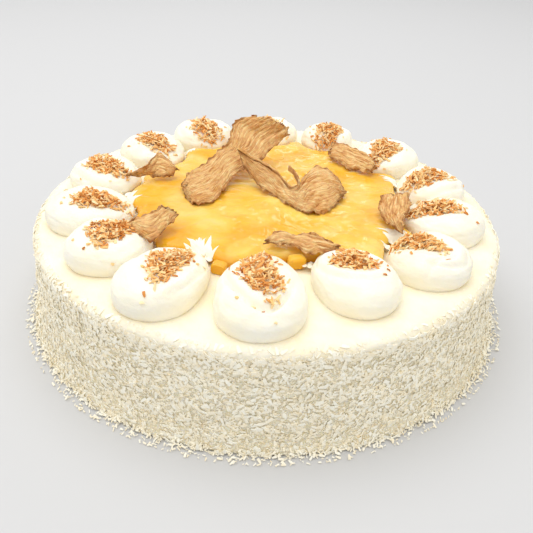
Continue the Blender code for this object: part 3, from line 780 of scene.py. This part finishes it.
class CAKE_OT_stage(bpy.types.Operator):
    """Plain pale floor, soft studio light and the camera"""
    bl_idname = "cake.stage"
    bl_label = "Stage"

    def execute(self, context):
        colours = context.scene.cake_colours
        bpy.ops.object.select_all(action="DESELECT")
        bpy.ops.mesh.primitive_plane_add(size=14.0, location=(0.0, 3.0, -0.0002))
        floor = context.active_object
        floor.name = "floor"
        mat = fresh_material("studio_floor")
        shader = put(mat, "BsdfPrincipled", {
            "Base Color": [*colours.floor, 1.0], "Roughness": 0.85, "Specular IOR Level": 0.15})
        put(mat, "OutputMaterial", {"Surface": shader})
        floor.data.materials.append(mat)
        world = bpy.data.worlds.new("studio")
        world.use_nodes = True
        surround = world.node_tree.nodes["Background"]
        surround.inputs["Color"].default_value = (1.0, 0.995, 0.985, 1.0)
        surround.inputs["Strength"].default_value = colours.fill
        context.scene.world = world
        lamps = [
            ("key", (-0.25, 0.18, 1.5), 1.9, colours.key * 1.03),
            ("front", (0.6, -1.3, 0.9), 1.0, colours.key * 0.08),
            ("glint", (0.10, 1.10, 0.66), 0.16, colours.key * 0.016),
        ]
        for name, place, size, power in lamps:
            data = bpy.data.lights.new(name, "AREA")
            data.shape = "DISK"
            data.size = size
            data.energy = power
            lamp = bpy.data.objects.new(name, data)
            lamp.location = place
            aim = Vector((0.0, 0.0, 0.05)) - lamp.location
            lamp.rotation_euler = aim.to_track_quat("-Z", "Y").to_euler()
            context.scene.collection.objects.link(lamp)
        self.add_camera(context)
        context.scene.view_settings.view_transform = "Standard"
        context.scene.view_settings.look = "None"
        return {"FINISHED"}

    def add_camera(self, context):
        """Camera 33 degrees above the cake, 0.4 m away, with the slight roll of a hand-held one."""
        tilt, roll = math.radians(CAMERA_TILT), math.radians(CAMERA_ROLL)
        back = Vector((0.0, -math.cos(tilt), math.sin(tilt)))
        right = Vector((1.0, 0.0, 0.0))
        up = Vector((0.0, math.sin(tilt), math.cos(tilt)))
        across = math.cos(roll) * right + math.sin(roll) * up
        upward = -math.sin(roll) * right + math.cos(roll) * up
        eye = Vector((0.0, 0.0, 0.04)) + back * CAMERA_AWAY + across * CAMERA_ASIDE + upward * CAMERA_UP
        data = bpy.data.cameras.new("camera")
        data.sensor_width = SENSOR
        data.lens = LENS
        data.clip_start = 0.01
        camera = bpy.data.objects.new("camera", data)
        turn = Matrix((across, upward, back)).transposed()
        camera.matrix_world = Matrix.Translation(eye) @ turn.to_4x4()
        context.scene.collection.objects.link(camera)
        context.scene.camera = camera


class CAKE_OT_body(bpy.types.Operator):
    """Cream-coated cake: spread top, rounded edge and the undercoat of the side"""
    bl_idname = "cake.body"
    bl_label = "Cake body"

    def execute(self, context):
        sizes = context.scene.cake_sizes
        inner = sizes.rim - sizes.shoulder_width
        section = [(r, sizes.top) for r in np.linspace(0.0, inner, 26)]
        for step in range(1, 17):
            share = math.sin(math.radians(90.0 * step / 16))
            radius = inner + sizes.shoulder_width * share
            section.append((radius, float(icing_height(sizes, np.array(radius)))))
        low = sizes.top - sizes.shoulder_drop
        for height in np.linspace(low - 0.0012, 0.0012, 38):
            section.append((float(side_radius(sizes, np.array(height))) - 0.0001, height))
        edge = float(side_radius(sizes, np.array(0.0))) - 0.0018
        section += [(edge, 0.0), (edge * 0.8, 0.0), (edge * 0.4, 0.0), (0.0, 0.0)]
        cake = add_sphere("cake_cream", CAKE_STEPS, len(section) - 1)
        angle, radius, height = ring_profile(cake, section)
        shape = polar(radius, angle, height)
        # spatula marks run round the top; the edge dips and swells a little
        wave = lumps(shape * np.array([1.0, 1.0, 0.3]), 0.030, 2.0)
        rise = wave * 0.00055 * smooth(0.060, 0.100, radius) + lumps(shape, 0.008, 11.0) * 0.00016
        above = smooth(low - 0.002, low + 0.002, height)
        shape[:, 2] += rise * above
        grow = side_swell(shape) * (1.0 - above)
        grow += wave * 0.0005 * above * smooth(inner - 0.004, inner + 0.006, radius)
        grow *= smooth(0.0002, 0.002, height)
        shape[:, :2] *= (1.0 + grow / np.maximum(radius, 0.02))[:, None]
        shape[:, 2] = np.maximum(shape[:, 2], 0.0)
        set_points(cake, shape)
        # the spread cream is tinted a little yellower than the piped dollops: painted warm shade for the
        # cream lying low between them
        cream = whipped_cream("spread_cream", "FFF7E2", "FFF2D4", 0.8, edge=sizes.coconut_top)
        finished(cake, cream, "coconut_coat", "cake")
        return {"FINISHED"}


class CAKE_OT_coconut(bpy.types.Operator):
    """Shredded coconut pressed into the side and heaped at the foot"""
    bl_idname = "cake.coconut"
    bl_label = "Coconut coat"

    def execute(self, context):
        sizes = context.scene.cake_sizes
        count = sizes.side_shreds // 1
        low = sizes.top - sizes.shoulder_drop
        mat = coconut("desiccated_coconut", [
            (0.0, "FFFCEE"), (0.4, "FFF8E4"), (0.75, "FDF2D6"), (1.0, "F6E4C0")])
        for number, (name, share, shape, long, wide, thick, warm) in enumerate(SHREDS):
            rng = np.random.default_rng(COCONUT_SEED + number)
            total = int(count * share)
            angle = rng.uniform(0.0, math.tau, total)
            height = rng.uniform(0.0, 1.0, total)
            # a soft wavy upper border, and strays above it
            border = sizes.coconut_top + 0.0016 * lumps(polar(9.0, angle, np.full(total, 2.0)), 1.0)
            stray = rng.uniform(0.0, 1.0, total) < STRAY_SHARE
            top = border + np.where(stray, rng.exponential(0.0022, total), 0.0)
            height = height * np.where(stray, 1.0, top)
            height = np.where(stray, border - 0.004 + rng.exponential(0.0034, total), height)
            height = np.minimum(height, sizes.top - 0.0008)
            on_side = height <= low
            drop = np.clip((height - low) / sizes.shoulder_drop, 0.0, 1.0)
            over = sizes.rim - sizes.shoulder_width * (1.0 - np.sqrt(1.0 - drop ** 2))
            radius = np.where(on_side, side_radius(sizes, height), over)
            tilt = np.where(on_side, 0.0, drop * 1.3)
            outward = polar(np.cos(tilt), angle, np.sin(tilt))
            radius += rng.uniform(-0.0004, 0.0004, total) * np.where(on_side, 1.0, 0.5)
            spot = polar(radius, angle, height)
            radius += side_swell(spot) * smooth(sizes.top, sizes.top - 0.008, height)
            # loose shreds that slid down and lie round the foot
            slid = np.arange(total) < int(total * FOOT_SHARE)
            heap = rng.exponential(0.0026, total)
            radius = np.where(slid, sizes.base + 0.0005 + np.minimum(heap, 0.0085), radius)
            pile = 0.0042 * np.exp(-(radius - sizes.base) / 0.0030)
            height = np.where(slid, 0.0006 + rng.uniform(0.0, 1.0, total) * np.minimum(pile, 0.005), height)
            outward = np.where(slid[:, None], polar(0.4, angle, np.ones(total)), outward)
            outward += rng.normal(0.0, 0.12, (total, 3))
            outward /= np.linalg.norm(outward, axis=1, keepdims=True)
            along = np.cross(outward, rng.normal(0.0, 1.0, (total, 3)))
            centres = polar(radius, angle, height)
            size = np.stack([rng.uniform(*span, total) for span in (long, wide, thick)], axis=1)
            size *= np.where(slid, 0.72, 1.0)[:, None]
            reach = size[:, 0] * 0.5 * abs(along[:, 2]) / np.linalg.norm(along, axis=1) + size[:, 1] * 0.4
            centres[:, 2] = np.maximum(centres[:, 2], reach * 0.9 + 0.0001)
            tint = np.clip(rng.beta(1.5, 2.0, total) + warm - 0.20, 0.0, 1.0)
            piece = scatter(name, model_shred(shape), centres, along, outward, size, tint)
            finished(piece, mat, "coconut_coat", rounded=False)
        return {"FINISHED"}


class CAKE_OT_dollops(bpy.types.Operator):
    """Ring of piped whipped cream dollops"""
    bl_idname = "cake.dollops"
    bl_label = "Dollops"

    def execute(self, context):
        sizes = context.scene.cake_sizes
        mat = whipped_cream("piped_cream", "FFFAEA", "FFF7E0", 0.7)
        for index in range(len(DOLLOPS)):
            node = "dollop_%02d" % (index + 1)
            piece = add_sphere("piped_%s" % node, *DOLLOP_STEPS)
            set_points(piece, shape_dollop(get_points(piece), index, sizes))
            finished(piece, mat, "whipped_cream", node)
        return {"FINISHED"}


class CAKE_OT_toasted(bpy.types.Operator):
    """Toasted coconut heaped in the hollow of every dollop"""
    bl_idname = "cake.toasted"
    bl_label = "Toasted coconut"

    def execute(self, context):
        sizes = context.scene.cake_sizes
        mat = coconut("toasted_coconut", [(0.0, "FFEDC0"), (0.30, "FBD08A"), (0.55, "EDA658"),
                                          (0.80, "D48638"), (1.0, "A66428")])
        parts = {"centres": [], "along": [], "outward": [], "size": [], "tint": []}
        for index, (cx, cy, half_long, half_wide, turn) in enumerate(CLUSTERS):
            rng = np.random.default_rng(TOASTED_SEED + index)
            tree = ray_tree(bpy.data.objects["piped_dollop_%02d" % (index + 1)])
            matrix = dollop_place(index)
            for number in range(sizes.toasted_shreds + LOOSE_SHREDS):
                loose = number >= sizes.toasted_shreds
                reach = math.sqrt(rng.uniform(0.0, 1.0)) * (1.0 + 0.12 * rng.normal())
                around = rng.uniform(0.0, math.tau)
                if loose:
                    reach = rng.uniform(1.1, 1.9)
                edge = 1.0 + 0.16 * math.sin(3.0 * around + index)
                edge += 0.10 * math.sin(7.0 * around + 2.0 * index)
                out = 0.90 * reach * edge * MM
                dx, dy = rotated(half_long * out * math.cos(around), half_wide * out * math.sin(around),
                                 math.radians(turn))
                hit, normal = drop_onto(tree, *carried(matrix, cx * MM + dx, cy * MM + dy))
                if hit is None or hit.z < sizes.top + 0.001:
                    continue
                pile = 0.0 if loose else max(0.0, 1.0 - reach * reach) * HEAP_HEIGHT
                length = rng.uniform(0.0018, 0.0046) * (0.6 if loose else 1.0)
                lean = normal + Vector(rng.normal(0.0, 0.16 if loose else 0.55, 3))
                lean.normalize()
                heading = lean.cross(Vector(rng.normal(0.0, 1.0, 3)))
                parts["centres"].append(hit + normal * (0.0004 + rng.uniform(0.0, 1.0) * pile))
                parts["along"].append(heading)
                parts["outward"].append(lean)
                parts["size"].append((length, rng.uniform(0.0007, 0.0015), rng.uniform(0.0003, 0.0005)))
                parts["tint"].append(min(max(rng.beta(1.05, 1.9) + 0.05 * (reach < 0.7), 0.0), 1.0))
        if not parts["tint"]:
            raise RuntimeError("no toasted coconut landed on a dollop")
        arrays = [np.array([list(v) for v in parts[key]]) for key in ("centres", "along", "outward", "size")]
        piece = scatter("toasted_coconut_shreds", model_shred("flake"), *arrays, np.array(parts["tint"]))
        finished(piece, mat, "dried_fruit", rounded=False)
        return {"FINISHED"}


class CAKE_OT_topping(bpy.types.Operator):
    """Pineapple compote over the middle, its loose chunks and the cream dragged over its edge"""
    bl_idname = "cake.topping"
    bl_label = "Fruit topping"

    def execute(self, context):
        sizes = context.scene.cake_sizes
        # the gel's upright edge gets painted amber shade, strongly on the topping and faintly on the chunks
        mat = pineapple_compote("pineapple_compote", 0.8)
        soft = pineapple_compote("pineapple_chunk", 0.2)
        section = [(r, 1.0) for r in np.linspace(0.0, 0.90, 50)]
        section += [(0.90 + 0.10 * math.sin(math.radians(a)), 0.30 + 0.70 * math.cos(math.radians(a)))
                    for a in np.linspace(8.0, 90.0, 14)]
        section += [(0.997, 0.12), (0.990, 0.0), (0.5, 0.0), (0.0, 0.0)]
        topping = add_sphere("pineapple_topping", TOPPING_STEPS, len(section) - 1)
        angle, share, lift = ring_profile(topping, section)
        around = np.linspace(-math.pi, math.pi, TOPPING_STEPS, endpoint=False)
        edge = topping_edge(sizes, around)
        reach = np.interp(angle, np.append(around, math.pi), np.append(edge, edge[0]))
        shape = polar(share * reach, angle, np.zeros(len(angle)))
        shape[:, 2] = sizes.top + lift * topping_height(sizes, shape)
        set_points(topping, shape)
        finished(topping, mat, "fruit_topping", "fruit_topping")
        for number, (node, degrees, distance, length, width, height) in enumerate(CHUNKS):
            self.add_chunk(node, degrees, distance, (length, width, height), number, soft, sizes)
        self.add_smears(sizes, topping)
        return {"FINISHED"}

    def add_chunk(self, node, degrees, distance, size, number, mat, sizes):
        """A soft block of fruit with rounded edges and fine fibre ridges."""
        chunk = add_sphere("pineapple_%s" % node, *CHUNK_STEPS)
        points = get_points(chunk)
        block = np.sign(points) * abs(points) ** 0.50
        block *= np.array(size) * 0.5 * MM
        ridges = np.sin(block[:, 0] / 0.0011 * math.tau) * 0.00012 + lumps(points, 0.9, number) * 0.0003
        block += points * ridges[:, None]
        heading = math.radians(degrees)
        turn = np.array(Matrix.Rotation(heading, 3, "Z"))
        block = block @ turn.T
        block += np.array([math.cos(heading), math.sin(heading), 0.0]) * distance * MM
        block[:, 2] += sizes.top + size[2] * 0.5 * MM
        set_points(chunk, block)
        finished(chunk, mat, "fruit_topping", node)

    def add_smears(self, sizes, topping):
        """Tapered tongues of cream that the nozzle dragged inwards over the topping."""
        tree = ray_tree(topping)
        tongue = add_sphere("tongue", *TONGUE_STEPS)
        base = get_points(tongue)
        rings = [list(face.vertices) for face in tongue.data.polygons]
        bpy.data.objects.remove(tongue, do_unlink=True)
        rng = np.random.default_rng(SMEAR_SEED)
        along = (base[:, 0] + 1.0) * 0.5
        verts, faces = [], []
        for degrees, distance, heading, reach in SMEARS:
            angle = math.radians(degrees)
            root = np.array([math.cos(angle), math.sin(angle)]) * distance * MM
            for _ in range(TONGUES):
                length = reach * rng.uniform(0.30, 0.80) * MM
                width = rng.uniform(0.0010, 0.0022)
                bend = rng.uniform(-0.25, 0.25)
                turn = math.radians(heading + rng.uniform(-20.0, 20.0))
                start = root + rng.normal(0.0, 0.0017, 2)
                x = along * length - 0.0015
                y = base[:, 1] * width * (1.2 - along) + bend * along ** 2 * length * 0.5
                wx, wy = rotated(x, y, turn)
                wx, wy = wx + start[0], wy + start[1]
                hits = [drop_onto(tree, px, py)[0] for px, py in zip(wx, wy)]
                high = np.array([sizes.top + 0.003 if hit is None else hit.z for hit in hits])
                wz = high + base[:, 2] * 0.0006 * (1.15 - along) + 0.0001
                offset = sum(len(v) for v in verts)
                verts.append(np.stack([wx, wy, wz], axis=1))
                faces += [[i + offset for i in ring] for ring in rings]
        mesh = bpy.data.meshes.new("cream_smears")
        mesh.from_pydata(np.concatenate(verts).tolist(), [], faces)
        cream = whipped_cream("dragged_cream", "FFFCEE", "FFF9E4", 0.5, soft=0.0)
        finished(link_mesh("cream_smears", mesh), cream, "whipped_cream")


class CAKE_OT_crisps(bpy.types.Operator):
    """Dried pineapple crisps standing and lying on the topping"""
    bl_idname = "cake.crisps"
    bl_label = "Dried fruit crisps"

    def execute(self, context):
        mat = dried_pineapple()
        for number, (node, rows) in enumerate(CRISPS.items()):
            stations = np.array(rows, float).reshape(-1, 2, 3)
            large = node.startswith("crisp")
            bpy.ops.object.select_all(action="DESELECT")
            long_steps, wide_steps = CRISP_STEPS if large else CHIP_STEPS
            bpy.ops.mesh.primitive_grid_add(x_subdivisions=long_steps, y_subdivisions=wide_steps, size=2.0)
            piece = context.active_object
            piece.name = piece.data.name = "dried_%s" % node
            bulge = 3.0 if node == "crisp_back" else 0.8
            share, across = shape_slice(piece, stations, 11.0 * number + 2.0, bulge, node == "crisp_front")
            self.write_slice_map(piece, share, across, stations)
            if node == "crisp_front":
                self.join_hook(context, piece)
            skin = piece.modifiers.new("thickness", "SOLIDIFY")
            skin.thickness = context.scene.cake_sizes.crisp * (1.0 if large else 1.6)
            skin.offset = 0.0
            skin.vertex_group = "body"
            skin.thickness_vertex_group = BORDER_SHARE
            bpy.ops.object.select_all(action="DESELECT")
            piece.select_set(True)
            context.view_layer.objects.active = piece
            bpy.ops.object.modifier_apply(modifier=skin.name)
            finished(piece, mat, "dried_fruit", node)
        return {"FINISHED"}

    def write_slice_map(self, piece, share, across, stations):
        """UV map in millimetres along and across the slice, for its fibres."""
        edges = np.array(stations, float).mean(axis=1)
        length = np.linalg.norm(np.diff(edges, axis=0), axis=1).sum()
        width = max(np.linalg.norm(np.array(a, float) - np.array(b, float)) for a, b in stations)
        layer = piece.data.uv_layers.active
        layer.name = "slice"
        for loop in piece.data.loops:
            v = loop.vertex_index
            layer.data[loop.index].uv = (share[v] * length, across[v] * width)

    def join_hook(self, context, piece):
        """Narrow strip curled up at the inner edge of the lobe."""
        bpy.ops.object.select_all(action="DESELECT")
        bpy.ops.mesh.primitive_grid_add(x_subdivisions=HOOK_STEPS[0], y_subdivisions=HOOK_STEPS[1], size=2.0)
        strip = context.active_object
        points = get_points(strip)
        half = np.array([0.0, 0.6, 1.3])
        stations = [(tuple(p + half), tuple(p - half)) for p in np.array(HOOK)]
        share, across = points[:, 0] * 0.5 + 0.5, points[:, 1] * 0.5 + 0.5
        edges = along_stations(stations, share)
        wavy = edges[:, 0] + (edges[:, 1] - edges[:, 0]) * across[:, None]
        wavy[:, 0] += lumps(wavy, 0.004, 31.0) * 0.0007
        set_points(strip, wavy)
        write_shares(strip.data, "rim", np.full(len(points), 0.6))
        set_weights(strip, np.ones(len(points)))
        self.write_slice_map(strip, share, across, stations)
        strip.select_set(True)
        piece.select_set(True)
        context.view_layer.objects.active = piece
        bpy.ops.object.join()


class CAKE_PT_panel(bpy.types.Panel):
    """Sidebar panel that lists the steps"""
    bl_idname = "CAKE_PT_panel"
    bl_label = "Pineapple Cream Cake"
    bl_space_type = "VIEW_3D"
    bl_region_type = "UI"
    bl_category = "Cake"

    def draw(self, context):
        for step in STEPS:
            self.layout.operator(step.bl_idname)
        for name in ("top", "rim", "base", "dollop_height", "topping", "crisp", "side_shreds",
                     "toasted_shreds"):
            self.layout.prop(context.scene.cake_sizes, name)


STEPS = (CAKE_OT_stage, CAKE_OT_body, CAKE_OT_coconut, CAKE_OT_dollops, CAKE_OT_toasted, CAKE_OT_topping,
         CAKE_OT_crisps)
CLASSES = (CakeSizes, CakeColours) + STEPS + (CAKE_PT_panel,)


def register():
    for item in CLASSES:
        bpy.utils.register_class(item)
    bpy.types.Scene.cake_sizes = PointerProperty(type=CakeSizes)
    bpy.types.Scene.cake_colours = PointerProperty(type=CakeColours)


def unregister():
    del bpy.types.Scene.cake_colours
    del bpy.types.Scene.cake_sizes
    for item in reversed(CLASSES):
        bpy.utils.unregister_class(item)


def main():
    register()
    bpy.ops.cake.stage()
    bpy.ops.cake.body()
    bpy.ops.cake.coconut()
    bpy.ops.cake.dollops()
    bpy.ops.cake.toasted()
    bpy.ops.cake.topping()
    bpy.ops.cake.crisps()


if __name__ == "__main__":
    main()
